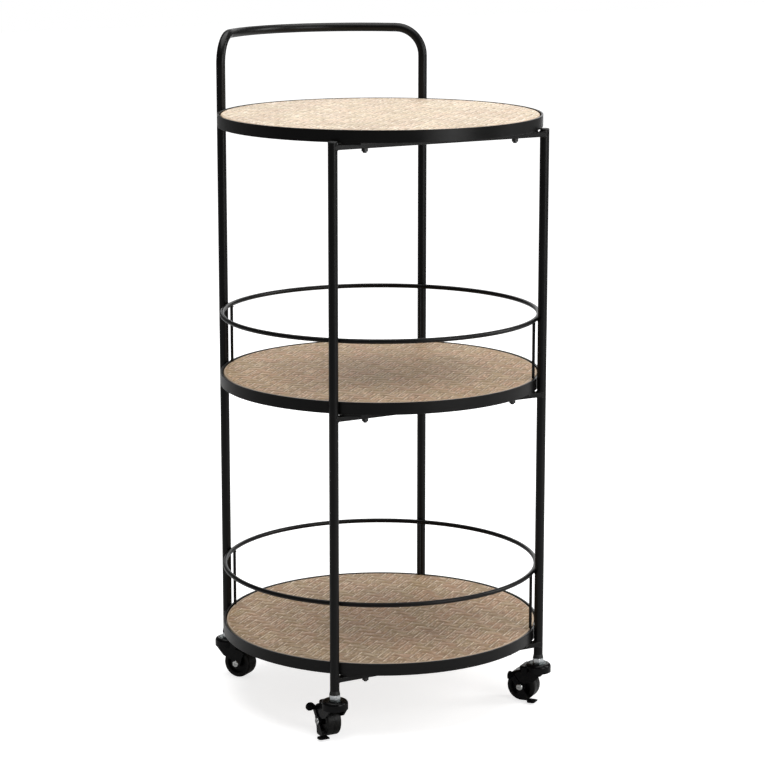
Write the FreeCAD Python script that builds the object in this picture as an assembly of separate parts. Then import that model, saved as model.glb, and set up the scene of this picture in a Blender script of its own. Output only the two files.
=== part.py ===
import FreeCAD, Part
import math
import os

# Round three-tier bar cart on swivel casters. Millimetres, +Z up.
# The origin is on the floor, on the axis of the round tiers. The front is -Y
# and the handle side is +Y, so +X is the right hand of someone facing the front.

# ---------------------------------------------------------------- tiers
rim_radius = 210.0          # outside of the flat steel band round each tier
rim_thickness = 2.5
rim_height = 15.5
rim_edge_round = 0.4
bottom_tier_rise = 35.3     # from the tubes' lower ends to the bottom band's top edge
tier_spacing = 337.0        # from one tier's top edge to the next
panel_recess = 0.5          # the panel lies this far below the band's top edge
panel_bevel = 0.8

# ---------------------------------------------------------------- legs and handle
tube_radius = 6.0
tube_wall = 1.2
handle_rise = 95.0          # from the top band's top edge to the hand rail's axis
handle_bend_radius = 37.5
handle_heading = 45.0       # degrees the rail sets off outwards, away from the tiers
front_leg_lap = 0.2         # the front tubes end this far above the top band's lower edge
plug_head_height = 1.8
plug_head_round = 1.26
plug_shank_length = 12.0

# ---------------------------------------------------------------- cross bars and fixings
bar_width = 12.0
bar_height = 6.0
bar_edge_round = 0.8
tab_thickness = 2.5
tab_width = 34.0            # along y
tab_length = 48.0           # along x
tab_to_leg = 11.0           # from a tab's outer end to the leg's axis
tray_bolt_from_end = 14.5   # from a tab's inner end to the bolt through it and the bar
bolt_radius = 2.5
bolt_head_radius = 4.7
bolt_head_height = 3.0
bolt_tip_length = 2.0       # what shows below the nut
bolt_tip_round = 0.8
nut_across_flats = 8.0
nut_height = 4.0
panel_screw_from_end = 10.0  # from a tab's inner end
panel_screw_inset = 11.0    # from the bar's axis towards the middle of the cart
panel_screw_radius = 1.75
panel_screw_head_radius = 3.6
panel_screw_head_height = 2.0
panel_screw_head_round = 0.9
panel_screw_depth = 10.0

# ---------------------------------------------------------------- galleries
gallery_rise = 76.5         # ring axis above its tier's top edge
gallery_rod_radius = 3.0
post_radius = 2.0
post_foot_depth = 9.0       # how far a post reaches down inside the band

# ---------------------------------------------------------------- casters
wheel_radius = 19.8
tyre_depth = 4.0
tyre_width = 20.0
tyre_round = 2.2
tyre_groove_depth = 0.5
tyre_groove_half_width = 0.6
hub_width = 20.8
hub_boss_radius = 5.5
hub_web_width = 12.0
hub_rim_thickness = 2.0
caster_trail = 20.0         # wheel axle behind the swivel axis
cheek_inside = 10.7         # half the gap between the fork's cheeks
cheek_thickness = 2.5
cheek_front_x = -10.0       # front end of a cheek, under the hood
cheek_knee_x = 0.5          # where its front edge bends towards the axle
cheek_knee_rise = 9.5       # above the axle
cheek_back_reach = 9.5      # inner corner below the fender, behind the axle
cheek_back_rise = 9.5       # and above it
cheek_boss_radius = 7.0
cheek_boss_start = -215.0   # degrees round the axle, from its front edge
cheek_boss_end = -5.0       # to its back edge
fender_gap = 0.8
fender_thickness = 1.7
fender_start = 50.0         # degrees above the horizontal, on the trailing side
fender_end = 104.0
fender_round = 3.5          # along its outer edges
fender_round_start = 48.0   # from just before the fender
fender_round_end = 112.0    # to under the saddle's sides
hood_radius = 17.0
hood_wheel_gap = 1.0        # between the hood and the wheel's top
hood_height = 11.5
hood_round = 4.5
hood_dish_radius = 11.6     # shallow dish on top, round the stem's flange
hood_dish_depth = 1.0
saddle_back_x = 22.5        # the hood runs back to here between the cheeks' outer faces
saddle_height = 7.4
saddle_corner = 5.0
saddle_edge_round = 2.0
saddle_skirt = 4.0          # its sides run down this far over the cheeks
hood_recess_radius = 7.2
hood_recess_height = 2.7
cheek_rise = 4.0            # how far the cheeks reach up into the hood
stem_radius = 4.0           # M8
stem_head_radius = 6.5
stem_head_height = 2.1
stem_flange_radius = 11.0
stem_flange_height = 1.2
stem_nut_across_flats = 13.0
stem_nut_height = 6.6
stem_nut_chamfer = (1.0, 0.7)
stem_nut_turn = 10.0        # degrees, as the nuts happen to stand
stem_reach = 18.0           # thread above the nut
socket_collar_radius = 6.9
socket_collar_height = 5.0
socket_lip_height = 1.0
socket_length = 20.0
axle_radius = 2.5
axle_head_radius = 4.5
axle_head_height = 1.9
axle_head_round = 1.425
axle_recess_depth = 0.7
axle_recess_reach = 2.2     # half the length of each arm of the cross
axle_recess_width = 0.4     # half of its width
axle_head_sink = 0.5        # how far the pin runs into its heads
lever_thickness = 1.5
lever_half_width = 3.6
lever_waist_drop = 2.0      # where the lower arm leaves the eye at the back
lever_eye_radius = 5.5
lever_lean = 35.0           # degrees of the upper arm behind the vertical
lever_arm_length = 20.0     # from the axle to the middle of the paddle
paddle_radius = 5.3
paddle_thickness = 2.0
paddle_reach = 10.5         # how far the paddle stands out beside the arm
paddle_arm_rise = 2.5       # the arm ends this far above the paddle's middle
foot_bottom_z = 2.6         # above the floor
foot_thickness = 1.8
foot_back_gap = 12.5        # from the axle forward to the foot's back edge
foot_length = 11.0
lever_heel_back = 2.7       # from the axle back to the lower arm's back corner
lever_heel_round = 3.0
foot_inside_y = 9.0         # the foot reaches in front of the wheel
foot_reach = 8.0            # and stands out beside the arm
foot_corner = 4.0

# ---------------------------------------------------------------- clearances
running_fit = 0.08          # between a turning part and its pin
thread_fit = 0.05
weld_gap = 0.05             # between a coped bar end and its tube
face_gap = 0.3              # between a turning part and the one beside it
head_gap = 0.1              # between a cheek and the axle's head
lever_gap = 0.2             # on each side of the brake lever
panel_clearance = 2.0       # all round the panel, inside the band
leg_clearance = 0.375       # between the band and a leg
post_clearance = 0.2        # between the band and a gallery post
pocket_clearance = 1.0      # round and above a bolt head in the panel
over = 1.0                  # how far a cut runs past the face it starts from

# ---------------------------------------------------------------- how arcs are stepped and edges picked
arc_steps = 14              # straight steps in an arc of a cheek's outline
near = 0.01                 # by place, to within this
parallel = 0.99             # by direction: least cosine between an edge and an axis

# Direction in which each caster's wheel trails, degrees from +X, as it stands.
caster_yaw = {
    "front_left": 87.0,
    "front_right": 125.0,
    "back_left": -57.0,
    "back_right": 60.0,
}
leg_side = {
    "front_left": (-1, -1),
    "front_right": (1, -1),
    "back_left": (-1, 1),
    "back_right": (1, 1),
}
braked = ("front_left", "front_right")

# ---------------------------------------------------------------- worked out from the above
hood_bottom_z = 2 * wheel_radius + hood_wheel_gap
hood_top_z = hood_bottom_z + hood_height
stem_flange_z = hood_top_z - hood_dish_depth + face_gap
stem_nut_z = stem_flange_z + stem_flange_height
socket_bottom_z = stem_nut_z + stem_nut_height
leg_bottom_z = socket_bottom_z + socket_collar_height
bottom_tier_z = leg_bottom_z + bottom_tier_rise
tier_top = {
    "top": bottom_tier_z + 2 * tier_spacing,
    "middle": bottom_tier_z + tier_spacing,
    "bottom": bottom_tier_z,
}
handle_z = tier_top["top"] + handle_rise
front_leg_top = tier_top["top"] - rim_height + front_leg_lap
rim_inner = rim_radius - rim_thickness
panel_radius = rim_inner - panel_clearance
leg_offset = (rim_radius + tube_radius + leg_clearance) / math.sqrt(2)  # in x and in y
tab_outer_x = leg_offset - tab_to_leg
tab_inner_x = tab_outer_x - tab_length
tray_bolt_x = tab_inner_x + tray_bolt_from_end
panel_screw_x = tab_inner_x + panel_screw_from_end
gallery_ring_radius = rim_radius - gallery_rod_radius
post_circle = rim_inner - post_radius - post_clearance
panel_thickness = rim_height - panel_recess
axle_z = wheel_radius
cheek_outside = cheek_inside + cheek_thickness
foot_back_x = caster_trail - foot_back_gap
foot_front_x = foot_back_x - foot_length
lever_inside = cheek_outside + lever_gap
lever_outside = lever_inside + lever_thickness

UP = FreeCAD.Vector(0, 0, 1)


def vec(x, y, z):
    return FreeCAD.Vector(x, y, z)


def save(name, shape):
    shape.exportStep("parts/" + name + ".step")


def cylinder(radius, z0, z1, x=0.0, y=0.0):
    return Part.makeCylinder(radius, z1 - z0, vec(x, y, z0), UP)


def ring(outer, inner, z0, z1):
    return cylinder(outer, z0, z1).cut(cylinder(inner, z0 - over, z1 + over))


def box(x0, x1, y0, y1, z0, z1):
    return Part.makeBox(x1 - x0, y1 - y0, z1 - z0, vec(x0, y0, z0))


def across_y(radius, y0, y1, x, z):
    """A cylinder along y."""
    return Part.makeCylinder(radius, y1 - y0, vec(x, y0, z), vec(0, 1, 0))


def hexagon(across_flats, z0, z1):
    corner = across_flats / math.sqrt(3)
    points = [vec(corner * math.cos(math.radians(60 * k)), corner * math.sin(math.radians(60 * k)), z0)
              for k in range(7)]
    return Part.Face(Part.makePolygon(points)).extrude(vec(0, 0, z1 - z0))


def plate(points, y0, y1):
    """A flat plate between y0 and y1 whose outline is given in x and z."""
    wire = Part.makePolygon([vec(x, y0, z) for x, z in points + points[:1]])
    return Part.Face(wire).extrude(vec(0, y1 - y0, 0))


def revolve(points):
    """A turned solid from (radius, z) points, closed back to its start."""
    wire = Part.makePolygon([vec(r, 0, z) for r, z in points + points[:1]])
    return Part.Face(wire).revolve(vec(0, 0, 0), UP, 360)


def fillet_circles(shape, radius, edge_radius, z, axis="z"):
    """Round the circular edges of the given radius that lie at the given height along an axis."""
    chosen = []
    for edge in shape.Edges:
        curve = edge.Curve
        if not isinstance(curve, Part.Circle):
            continue
        height = getattr(curve.Center, axis)
        if abs(curve.Radius - edge_radius) < near and abs(height - z) < near:
            chosen.append(edge)
    return shape.makeFillet(radius, chosen)


def turned(shape, degrees):
    out = shape.copy()
    out.rotate(vec(0, 0, 0), UP, degrees)
    return out


def moved(shape, x, y, z=0.0):
    out = shape.copy()
    out.translate(vec(x, y, z))
    return out


def group(shapes):
    return Part.makeCompound(shapes)


# ================================================================ tubes
def pipe(path, radius):
    start = path.Edges[0]
    normal = start.tangentAt(start.FirstParameter)
    profile = Part.Wire(Part.makeCircle(radius, start.valueAt(start.FirstParameter), normal))
    return path.makePipeShell([profile], True, True)


def handle_path():
    """Up the back left leg, round the rail and down the back right leg."""
    heading = math.radians(handle_heading)
    bend = handle_bend_radius
    half = math.sin(math.radians(45))

    def bend_point(angle_cos, angle_sin, side):
        along = bend - bend * angle_cos
        x = -leg_offset + along * math.cos(heading)
        y = leg_offset + along * math.sin(heading)
        return vec(side * x, y, handle_z - bend + bend * angle_sin)

    rail_end_x = leg_offset - bend * math.cos(heading)
    rail_radius = rail_end_x / math.sin(heading)
    rail_end_y = leg_offset + bend * math.sin(heading)
    rail_middle_y = rail_end_y + rail_radius * (1 - math.cos(heading))

    left_bend = Part.Arc(bend_point(1, 0, 1), bend_point(half, half, 1), bend_point(0, 1, 1))
    rail = Part.Arc(bend_point(0, 1, 1), vec(0, rail_middle_y, handle_z), bend_point(0, 1, -1))
    right_bend = Part.Arc(bend_point(0, 1, -1), bend_point(half, half, -1), bend_point(1, 0, -1))
    return Part.Wire([
        Part.makeLine(vec(-leg_offset, leg_offset, leg_bottom_z), bend_point(1, 0, 1)),
        left_bend.toShape(),
        rail.toShape(),
        right_bend.toShape(),
        Part.makeLine(bend_point(1, 0, -1), vec(leg_offset, leg_offset, leg_bottom_z)),
    ])


def handle_frame():
    path = handle_path()
    return pipe(path, tube_radius).cut(pipe(path, tube_radius - tube_wall))


def front_leg(side):
    tube = ring(tube_radius, tube_radius - tube_wall, leg_bottom_z, front_leg_top)
    return moved(tube, side * leg_offset, -leg_offset)


def leg_plug(side):
    head = cylinder(tube_radius, front_leg_top, front_leg_top + plug_head_height)
    head = fillet_circles(head, plug_head_round, tube_radius, front_leg_top + plug_head_height)
    shank = cylinder(tube_radius - tube_wall - thread_fit, front_leg_top - plug_shank_length, front_leg_top)
    return moved(head.fuse(shank), side * leg_offset, -leg_offset)


def cross_bar(tier, side):
    """The flat bar under a tier, between the two front legs or the two back legs."""
    top = tier_top[tier] - rim_height - tab_thickness
    y = side * leg_offset
    bar = box(-leg_offset, leg_offset, y - bar_width / 2, y + bar_width / 2, top - bar_height, top)
    bar = bar.makeFillet(bar_edge_round, [edge for edge in bar.Edges
                                          if abs(edge.tangentAt(edge.FirstParameter).x) > parallel])
    for x_side in (-1, 1):
        bar = bar.cut(cylinder(tube_radius + weld_gap, top - bar_height - over, top + over,
                               x_side * leg_offset, y))
        bar = bar.cut(cylinder(bolt_radius + face_gap, top - bar_height - over, top + over,
                               x_side * tray_bolt_x, y))
    return max(bar.Solids, key=lambda piece: piece.Volume)


# ================================================================ trays
def rim(tier):
    top = tier_top[tier]
    band = ring(rim_radius, rim_inner, top - rim_height, top)
    return band.makeFillet(rim_edge_round, [edge for edge in band.Edges if edge.isClosed()])


def tabs(tier):
    """Four plates under the band; the panel lies on them and they lie on the cross bars."""
    top = tier_top[tier] - rim_height
    pieces = []
    for x_side in (-1, 1):
        for y_side in (-1, 1):
            y = y_side * leg_offset
            bottom = top - tab_thickness
            tab = box(tab_inner_x, tab_outer_x, y - tab_width / 2, y + tab_width / 2, bottom, top)
            tab = tab.common(cylinder(rim_radius, bottom, top))
            tab = tab.cut(cylinder(bolt_radius + face_gap, bottom - over, top + over, tray_bolt_x, y))
            tab = tab.cut(cylinder(panel_screw_radius + face_gap, bottom - over, top + over,
                                   panel_screw_x, y - y_side * panel_screw_inset))
            if x_side < 0:
                tab = tab.mirror(vec(0, 0, 0), vec(1, 0, 0))
            pieces.append(tab)
    return group(pieces)


def fixing_places():
    for x_side in (-1, 1):
        for y_side in (-1, 1):
            yield x_side, y_side


def post_places():
    for k in range(4):
        angle = math.radians(45 + 90 * k)
        yield post_circle * math.cos(angle), post_circle * math.sin(angle)


def panel(tier):
    """The round board, with pockets for the bolt heads and pilot holes for its screws."""
    top = tier_top[tier] - panel_recess
    bottom = top - panel_thickness
    board = cylinder(panel_radius, bottom, top)
    board = board.makeChamfer(panel_bevel, [edge for edge in board.Edges
                                            if isinstance(edge.Curve, Part.Circle)
                                            and abs(edge.Curve.Center.z - top) < near])
    for x_side, y_side in fixing_places():
        y = y_side * leg_offset
        pocket_top = bottom + bolt_head_height + pocket_clearance
        board = board.cut(cylinder(bolt_head_radius + pocket_clearance, bottom - over, pocket_top,
                                   x_side * tray_bolt_x, y))
        board = board.cut(cylinder(panel_screw_radius + thread_fit, bottom - over,
                                   bottom + panel_screw_depth,
                                   x_side * panel_screw_x, y - y_side * panel_screw_inset))
    if tier != "top":
        for x, y in post_places():
            notch = post_radius + face_gap
            board = board.cut(cylinder(notch, bottom - over, top + over, x, y))
            mouth = box(post_circle, rim_radius, -notch, notch, bottom - over, top + over)
            board = board.cut(turned(mouth, math.degrees(math.atan2(y, x))))
    return max(board.Solids, key=lambda piece: piece.Volume)


def gallery_ring(tier):
    z = tier_top[tier] + gallery_rise
    return Part.makeTorus(gallery_ring_radius, gallery_rod_radius, vec(0, 0, z), UP)


def gallery_posts(tier):
    """Four thin rods from inside the band up to the under side of the ring."""
    top = tier_top[tier]
    ring_z = top + gallery_rise
    around = Part.makeTorus(gallery_ring_radius, gallery_rod_radius + weld_gap, vec(0, 0, ring_z), UP)
    pieces = []
    for x, y in post_places():
        rod = cylinder(post_radius, top - post_foot_depth, ring_z, x, y).cut(around)
        pieces.append(min(rod.Solids, key=lambda piece: piece.BoundBox.ZMin))
    return group(pieces)


# ================================================================ fixings
def tray_bolts():
    pieces = []
    for tier in tier_top:
        seat = tier_top[tier] - rim_height
        end = seat - tab_thickness - bar_height - nut_height - bolt_tip_length
        bolt = cylinder(bolt_head_radius, seat, seat + bolt_head_height)
        bolt = bolt.fuse(cylinder(bolt_radius, end, seat))
        bolt = fillet_circles(bolt, bolt_tip_round, bolt_radius, end)
        for x_side, y_side in fixing_places():
            pieces.append(moved(bolt, x_side * tray_bolt_x, y_side * leg_offset))
    return group(pieces)


def tray_nuts():
    pieces = []
    for tier in tier_top:
        seat = tier_top[tier] - rim_height - tab_thickness - bar_height
        nut = hexagon(nut_across_flats, seat - nut_height, seat)
        nut = nut.cut(cylinder(bolt_radius + thread_fit, seat - nut_height - over, seat + over))
        for x_side, y_side in fixing_places():
            pieces.append(moved(nut, x_side * tray_bolt_x, y_side * leg_offset))
    return group(pieces)


def panel_screws():
    pieces = []
    for tier in tier_top:
        seat = tier_top[tier] - rim_height - tab_thickness
        screw = cylinder(panel_screw_head_radius, seat - panel_screw_head_height, seat)
        tip = seat + tab_thickness + panel_screw_depth - pocket_clearance
        screw = screw.fuse(cylinder(panel_screw_radius, seat, tip))
        screw = fillet_circles(screw, panel_screw_head_round, panel_screw_head_radius,
                               seat - panel_screw_head_height)
        for x_side, y_side in fixing_places():
            pieces.append(moved(screw, x_side * panel_screw_x,
                                y_side * (leg_offset - panel_screw_inset)))
    return group(pieces)


# ================================================================ casters
# A caster is drawn with its swivel axis at x = 0, its wheel trailing towards +x,
# and is then turned to its heading and moved under its leg.
def stem_socket():
    """A threaded insert pressed into the lower end of a tube, with a collar below it."""
    collar = revolve([
        (0, socket_bottom_z),
        (socket_collar_radius, socket_bottom_z),
        (socket_collar_radius, socket_bottom_z + socket_lip_height),
        (tube_radius, leg_bottom_z),
        (0, leg_bottom_z),
    ])
    shank = cylinder(tube_radius - tube_wall - thread_fit, leg_bottom_z, leg_bottom_z + socket_length)
    bore = cylinder(stem_radius + thread_fit, socket_bottom_z - over, socket_bottom_z + stem_reach + over)
    return collar.fuse(shank).cut(bore)


def stem():
    bottom = hood_bottom_z + hood_recess_height - face_gap - stem_head_height
    head = cylinder(stem_head_radius, bottom, bottom + stem_head_height)
    rod = cylinder(stem_radius, bottom, stem_nut_z + stem_nut_height + stem_reach)
    flange = cylinder(stem_flange_radius, stem_flange_z, stem_flange_z + stem_flange_height)
    return head.fuse(rod).fuse(flange)


def stem_nut():
    top = stem_nut_z + stem_nut_height
    nut = hexagon(stem_nut_across_flats, stem_nut_z, top)
    corner = stem_nut_across_flats / math.sqrt(3)
    inward, deep = stem_nut_chamfer
    chamfer = revolve([
        (0, stem_nut_z),
        (corner - inward, stem_nut_z),
        (corner, stem_nut_z + deep),
        (corner, top - deep),
        (corner - inward, top),
        (0, top),
    ])
    return nut.common(chamfer).cut(cylinder(stem_radius + thread_fit, stem_nut_z - over, top + over))


def round_axle(radius, start, end):
    """Points in x and z on an arc about the axle, from one angle to another in degrees."""
    points = []
    for k in range(arc_steps + 1):
        angle = math.radians(start + (end - start) * k / arc_steps)
        points.append((caster_trail + radius * math.cos(angle), axle_z + radius * math.sin(angle)))
    return points


def cheek_outline():
    """Outline of a cheek in x and z: down its front edge, under the axle boss, up to the fender."""
    inside_hood_z = hood_bottom_z + cheek_rise
    fender_outer = wheel_radius + fender_gap + fender_thickness
    points = [(cheek_front_x, inside_hood_z), (cheek_front_x, hood_bottom_z),
              (cheek_knee_x, axle_z + cheek_knee_rise)]
    points += round_axle(cheek_boss_radius, cheek_boss_start, cheek_boss_end)
    points.append((caster_trail + cheek_back_reach, axle_z + cheek_back_rise))
    points += round_axle(fender_outer, fender_start, 90.0)
    points.append((hood_radius - hood_round, inside_hood_z))
    return points


def fender():
    inner = wheel_radius + fender_gap
    outer = inner + fender_thickness
    sector = [(caster_trail, axle_z)] + round_axle(2 * outer, fender_start, fender_end)
    shell = across_y(outer, -cheek_outside, cheek_outside, caster_trail, axle_z)
    shell = shell.cut(across_y(inner, -cheek_outside - over, cheek_outside + over, caster_trail, axle_z))
    return shell.common(plate(sector, -cheek_outside, cheek_outside))


def saddle():
    """The back of the hood, over the top of the wheel, with its sides let down over the cheeks."""
    top = hood_bottom_z + saddle_height
    bottom = hood_bottom_z - saddle_skirt
    block = box(0, saddle_back_x, -cheek_outside, cheek_outside, bottom, top)
    corners = [edge for edge in block.Edges
               if abs(edge.tangentAt(edge.FirstParameter).z) > parallel and edge.CenterOfMass.x > near]
    block = block.makeFillet(saddle_corner, corners)
    rim_edges = [edge for edge in block.Edges
                 if abs(edge.CenterOfMass.z - top) < near and edge.CenterOfMass.x > near]
    block = block.makeFillet(saddle_edge_round, rim_edges)
    return block.cut(box(-over, saddle_back_x + over, -cheek_inside, cheek_inside,
                         bottom - over, hood_bottom_z))


def outside_shoulders():
    """What is taken off the fender's outer edges to round them."""
    outer = wheel_radius + fender_gap + fender_thickness
    drum = across_y(outer, -cheek_outside, cheek_outside, caster_trail, axle_z)
    for y in (-cheek_outside, cheek_outside):
        drum = fillet_circles(drum, fender_round, outer, y, "y")
    wedge = [(caster_trail, axle_z)] + round_axle(2 * outer, fender_round_start, fender_round_end)
    return plate(wedge, -cheek_outside - over, cheek_outside + over).cut(drum)


def axle_bore():
    reach = cheek_outside + over
    return across_y(axle_radius + running_fit, -reach, reach, caster_trail, axle_z)


def fork():
    hood = cylinder(hood_radius, hood_bottom_z, hood_top_z)
    hood = fillet_circles(hood, hood_round, hood_radius, hood_top_z)
    body = fender()
    for side in (-1, 1):
        y0 = min(side * cheek_inside, side * cheek_outside)
        body = body.fuse(plate(cheek_outline(), y0, y0 + cheek_thickness))
    body = body.cut(outside_shoulders()).fuse([hood, saddle()])
    body = body.cut(across_y(wheel_radius + fender_gap, -cheek_inside, cheek_inside, caster_trail, axle_z))
    body = body.cut(cylinder(stem_radius + running_fit, 0, hood_top_z + over))
    body = body.cut(cylinder(hood_dish_radius, hood_top_z - hood_dish_depth, hood_top_z + over))
    body = body.cut(cylinder(hood_recess_radius, 0, hood_bottom_z + hood_recess_height))
    body = body.cut(axle_bore())
    return body.removeSplitter()


def axle(with_lever):
    """The wheel's rivet; on a braked caster its outer head also holds the lever."""
    far_end = -cheek_outside - head_gap
    near_end = (lever_outside + lever_gap) if with_lever else cheek_outside + head_gap
    pin = across_y(axle_radius, far_end - axle_head_sink, near_end + axle_head_sink, caster_trail, axle_z)
    heads = []
    for base, direction in ((far_end, -1), (near_end, 1)):
        low = min(base, base + direction * axle_head_height)
        head = across_y(axle_head_radius, low, low + axle_head_height, caster_trail, axle_z)
        face = base + direction * axle_head_height
        head = fillet_circles(head, axle_head_round, axle_head_radius, face, "y")
        for wide, tall in ((axle_recess_reach, axle_recess_width), (axle_recess_width, axle_recess_reach)):
            low = min(face, face - direction * axle_recess_depth)
            head = head.cut(box(caster_trail - wide, caster_trail + wide, low, low + axle_recess_depth,
                                axle_z - tall, axle_z + tall))
        heads.append(head)
    return pin.fuse(heads).removeSplitter()


def tyre():
    half = tyre_width / 2
    body = across_y(wheel_radius, -half, half, caster_trail, axle_z)
    for y in (-half, half):
        body = fillet_circles(body, tyre_round, wheel_radius, y, "y")
    body = body.cut(across_y(wheel_radius - tyre_depth, -half - over, half + over, caster_trail, axle_z))
    groove = across_y(wheel_radius + over, -tyre_groove_half_width, tyre_groove_half_width,
                      caster_trail, axle_z)
    groove = groove.cut(across_y(wheel_radius - tyre_groove_depth, -half, half, caster_trail, axle_z))
    return body.cut(groove)


def wheel_hub():
    """Core of the wheel: a rim under the tyre, a thinner web and a boss round the axle."""
    outer = wheel_radius - tyre_depth
    body = across_y(outer, -tyre_width / 2, tyre_width / 2, caster_trail, axle_z)
    for side in (-1, 1):
        low = min(side * hub_web_width / 2, side * tyre_width)
        high = max(side * hub_web_width / 2, side * tyre_width)
        body = body.cut(across_y(outer - hub_rim_thickness, low, high, caster_trail, axle_z))
    body = body.fuse(across_y(hub_boss_radius, -hub_width / 2, hub_width / 2, caster_trail, axle_z))
    return body.cut(axle_bore()).removeSplitter()


def brake_lever():
    """A rocker beside the fork: a paddle to let the wheel go and a foot to hold it."""
    lean = math.radians(lever_lean)
    half = lever_half_width
    paddle_x = caster_trail + lever_arm_length * math.sin(lean)
    paddle_z = axle_z + lever_arm_length * math.cos(lean)
    tip_y = lever_outside + paddle_reach - paddle_radius
    foot_top_z = foot_bottom_z + foot_thickness

    eye = across_y(lever_eye_radius, lever_inside, lever_outside, caster_trail, axle_z)
    upper = plate([(caster_trail - half, axle_z), (caster_trail + half, axle_z),
                   (paddle_x + paddle_thickness, paddle_z - paddle_radius),
                   (paddle_x + paddle_thickness, paddle_z + paddle_arm_rise),
                   (paddle_x, paddle_z + paddle_arm_rise)], lever_inside, lever_outside)
    root_y = lever_inside + paddle_radius
    paddle = box(paddle_x, paddle_x + paddle_thickness, root_y, tip_y,
                 paddle_z - paddle_radius, paddle_z + paddle_radius)
    ends = [Part.makeCylinder(paddle_radius, paddle_thickness, vec(paddle_x, y, paddle_z), vec(1, 0, 0))
            for y in (root_y, tip_y)]
    lower = plate([(caster_trail - half, axle_z), (caster_trail + half, axle_z - lever_waist_drop),
                   (caster_trail + lever_heel_back, foot_bottom_z),
                   (foot_back_x - half, foot_bottom_z)],
                  lever_inside, lever_outside)
    heel = [edge for edge in lower.Edges
            if abs(edge.tangentAt(edge.FirstParameter).y) > parallel
            and abs(edge.CenterOfMass.x - caster_trail - lever_heel_back) < near]
    lower = lower.makeFillet(lever_heel_round, heel)
    foot = box(foot_front_x, foot_back_x, foot_inside_y, lever_outside + foot_reach,
               foot_bottom_z, foot_top_z)
    outer_corners = [edge for edge in foot.Edges
                     if abs(edge.tangentAt(edge.FirstParameter).z) > parallel
                     and edge.CenterOfMass.y > lever_outside]
    foot = foot.makeFillet(foot_corner, outer_corners)
    lever = eye.fuse([upper, paddle, lower, foot] + ends)
    bore = across_y(axle_radius + running_fit, 0, lever_outside + over, caster_trail, axle_z)
    return lever.cut(bore).removeSplitter()


def under_leg(shape, corner, yaw=0.0):
    x_side, y_side = leg_side[corner]
    return moved(turned(shape, yaw), x_side * leg_offset, y_side * leg_offset)


# ================================================================ write the nodes
os.makedirs("parts", exist_ok=True)

save("handle_frame", handle_frame())
save("front_left_leg", front_leg(-1))
save("front_right_leg", front_leg(1))
save("front_leg_plugs", group([leg_plug(-1), leg_plug(1)]))
for tier_name in tier_top:
    save("front_crossbar_" + tier_name, cross_bar(tier_name, -1))
    save("back_crossbar_" + tier_name, cross_bar(tier_name, 1))
    save(tier_name + "_rim", rim(tier_name))
    save(tier_name + "_rim_tabs", tabs(tier_name))
    save(tier_name + "_panel", panel(tier_name))
    if tier_name != "top":
        save(tier_name + "_gallery_ring", gallery_ring(tier_name))
        save(tier_name + "_gallery_posts", gallery_posts(tier_name))

save("tray_bolts", tray_bolts())
save("tray_nuts", tray_nuts())
save("panel_screws", panel_screws())
save("stem_sockets", group([under_leg(stem_socket(), corner) for corner in leg_side]))
save("stem_nuts", group([under_leg(stem_nut(), corner, stem_nut_turn) for corner in leg_side]))

for corner, yaw_degrees in caster_yaw.items():
    prefix = "caster_" + corner + "_"
    has_brake = corner in braked
    save(prefix + "stem", under_leg(stem(), corner))
    save(prefix + "fork", under_leg(fork(), corner, yaw_degrees))
    save(prefix + "axle", under_leg(axle(has_brake), corner, yaw_degrees))
    save(prefix + "hub", under_leg(wheel_hub(), corner, yaw_degrees))
    save(prefix + "tyre", under_leg(tyre(), corner, yaw_degrees))
    if has_brake:
        save(prefix + "brake_lever", under_leg(brake_lever(), corner, yaw_degrees))
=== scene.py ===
import math

import bpy
from mathutils import Matrix, Vector


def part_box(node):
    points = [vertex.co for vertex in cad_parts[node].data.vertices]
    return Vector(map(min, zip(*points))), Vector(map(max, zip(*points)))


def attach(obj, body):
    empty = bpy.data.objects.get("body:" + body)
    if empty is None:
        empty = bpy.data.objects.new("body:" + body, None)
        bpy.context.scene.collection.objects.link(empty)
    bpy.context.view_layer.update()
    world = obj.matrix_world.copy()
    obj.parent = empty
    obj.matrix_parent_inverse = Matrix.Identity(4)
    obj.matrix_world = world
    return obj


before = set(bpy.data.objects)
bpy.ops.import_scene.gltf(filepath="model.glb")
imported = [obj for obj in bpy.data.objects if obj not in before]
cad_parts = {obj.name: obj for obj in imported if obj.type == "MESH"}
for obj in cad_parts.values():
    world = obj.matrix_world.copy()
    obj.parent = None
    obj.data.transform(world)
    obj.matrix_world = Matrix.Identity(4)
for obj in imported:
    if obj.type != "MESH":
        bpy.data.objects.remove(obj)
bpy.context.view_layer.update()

# Looks of the round three-tier bar cart: powder-coated steel, woven boards, zinc
# fixings and black casters. Metres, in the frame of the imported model.

MM = 0.001
TIERS = ("top", "middle", "bottom")
GALLERY_TIERS = ("middle", "bottom")
CORNERS = ("front_left", "front_right", "back_left", "back_right")
BRAKED = ("front_left", "front_right")

# ------------------------------------------------------------------ sizes of the mats
STRIP_PITCH = 13.18 * MM            # from one strip to the next
STRIP_WIDTH = 0.995 * STRIP_PITCH
FLOAT = 2 * STRIP_PITCH             # a strip passes over two others and then under two
STRIP_LENGTH = 0.99 * FLOAT
STRIP_RISE = 0.28 * MM              # height of a strip's crown over the board
STRIP_SINK = 0.03 * MM              # how deep its underside lies in the board
STRANDS = 3                         # strands side by side in a strip
MAT_INSET = 2.2 * MM                # from the board's edge to the mat's
MAT_SIDES = 72                      # straight cuts that trim a mat round
CRUMB = 2.0 * MM                    # what is shorter than this after the cuts is taken off
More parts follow.
